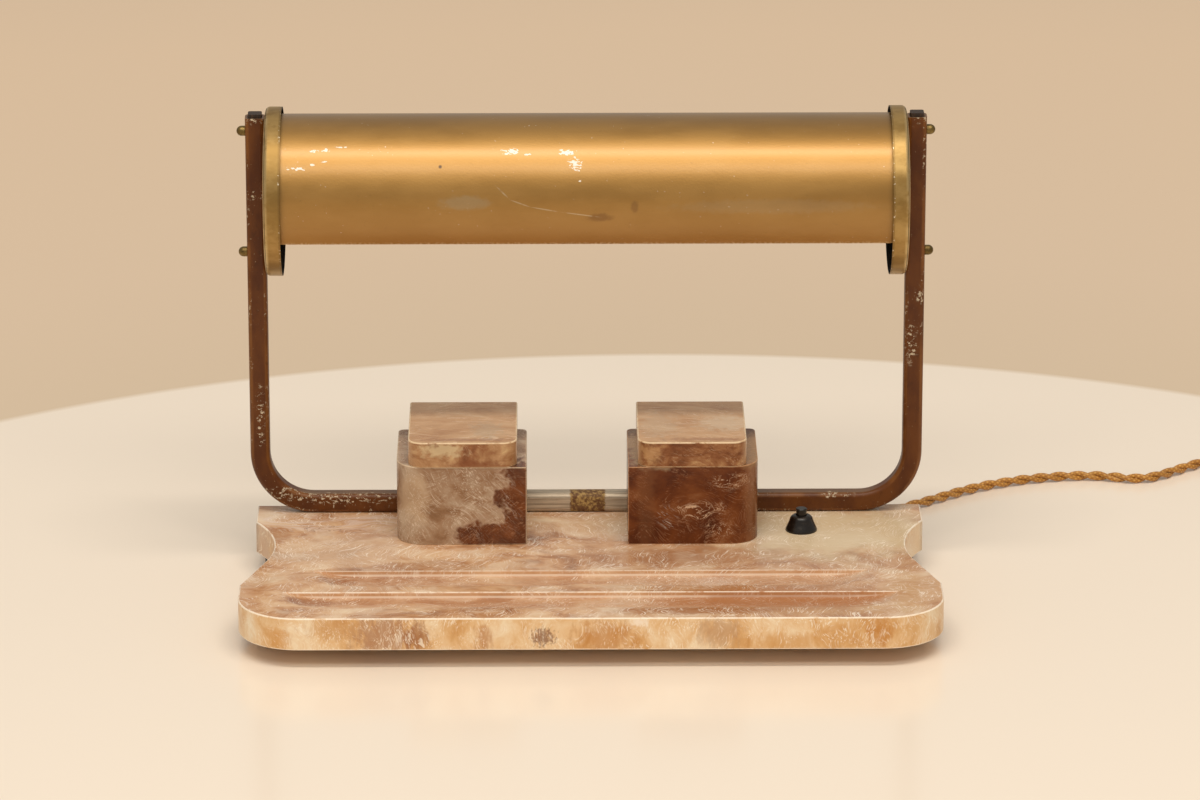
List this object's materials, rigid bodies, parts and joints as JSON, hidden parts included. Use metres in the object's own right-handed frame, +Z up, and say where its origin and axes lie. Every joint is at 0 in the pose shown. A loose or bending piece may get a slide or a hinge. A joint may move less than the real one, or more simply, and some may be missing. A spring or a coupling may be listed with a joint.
{
  "type": "desk lamp",
  "caption": "Desk lamp with a turning tube shade between two uprights, on a stone base with inkwells, pen grooves and a push switch.",
  "frame": {"origin": "on the table, in the middle of the box round the lamp without its mains cord; x = 0 is also the middle of the bracket and of the shade", "axes": "+X to the right along the shade, +Y away from the writer, +Z up"},
  "size_m": [0.7376, 0.4084, 0.2883],
  "materials": {
    "base_stone": "polished banded alabaster",
    "left_stone": "polished beige alabaster",
    "right_stone": "polished russet alabaster",
    "lid_stone": "polished alabaster",
    "feet_rubber": "matt",
    "arm_lacquer": "worn brown lacquer",
    "bar_steel": "bare and rusty",
    "plug_top": "dark wood-like",
    "cap_brass": "aged lacquered brass",
    "shade_brass": "satin gold lacquer",
    "nut_brass": "aged",
    "screw_steel": "zinc grey",
    "bakelite": "black",
    "holder_porcelain": "white glaze",
    "bulb_glass": "clear",
    "bulb_brass": "screw shell",
    "filament_wire": "fine wire",
    "pot_glass": "clear pressed glass",
    "insert_brass": "plain",
    "spring_steel": "drawn wire",
    "switch_moulding": "brown moulding",
    "clamp_steel": "zinc grey",
    "terminal_ceramic": "unglazed white",
    "lead_cotton": "braided cotton",
    "cord_silk": "twisted braided silk",
    "tie_cotton": "cotton tape",
    "plug_bakelite": "dark brown",
    "pin_brass": "turned"
  },
  "bodies": {
    "stand": {"base_slab": "base_stone", "base_feet": "feet_rubber", "left_arm": "arm_lacquer", "right_arm": "arm_lacquer", "crossbar": "bar_steel", "upright_plugs": "plug_top", "left_end_cap": "cap_brass", "right_end_cap": "cap_brass", "cap_screws": "screw_steel", "cap_dome_nuts": "nut_brass", "left_lampholder": "holder_porcelain", "right_lampholder": "holder_porcelain", "holder_nipples": "insert_brass", "nipple_nuts": "screw_steel", "left_bulb_glass": "bulb_glass", "right_bulb_glass": "bulb_glass", "bulb_caps": "bulb_brass", "bulb_filaments": "filament_wire", "left_inkwell": "left_stone", "right_inkwell": "right_stone", "left_ink_pot": "pot_glass", "right_ink_pot": "pot_glass", "block_inserts": "insert_brass", "block_screws": "screw_steel", "screw_washers": "screw_steel", "arm_screws": "screw_steel", "arm_nuts": "screw_steel", "switch_body": "switch_moulding", "switch_collar": "bakelite", "switch_spring": "spring_steel", "cord_bush": "switch_moulding", "cord_clamp": "clamp_steel", "wiring_screws": "insert_brass", "terminal_block": "terminal_ceramic", "terminal_screws": "insert_brass", "cord_tail": "cord_silk", "left_lead": "lead_cotton", "right_lead": "lead_cotton", "switch_lead": "lead_cotton", "cord_run": "cord_silk", "cord_coil": "cord_silk", "cord_end": "cord_silk", "coil_tie": "tie_cotton", "plug_base": "plug_bakelite", "plug_cover": "plug_bakelite", "plug_pins": "pin_brass", "plug_screw": "screw_steel"},
    "turning_shade": {"shade": "shade_brass"},
    "left_cover": {"left_lid": "lid_stone"},
    "right_cover": {"right_lid": "lid_stone"},
    "button": {"switch_button": "bakelite"}
  },
  "joints": [
    {"name": "shade_turn", "type": "hinge", "parent": "stand", "child": "turning_shade", "pos_m": [0, 0.07275, 0.2368], "axis": [1, 0, 0], "continuous": true},
    {"name": "left_lid_lift", "type": "slide", "parent": "stand", "child": "left_cover", "axis": [0, 0, 1], "range_m": [0, 0.06]},
    {"name": "right_lid_lift", "type": "slide", "parent": "stand", "child": "right_cover", "axis": [0, 0, 1], "range_m": [0, 0.06]},
    {"name": "button_press", "type": "slide", "parent": "stand", "child": "button", "axis": [0, 0, -1], "range_m": [0, 0.0025], "stiffness_N_per_m": 1000, "deforming": ["switch_spring"]}
  ]
}
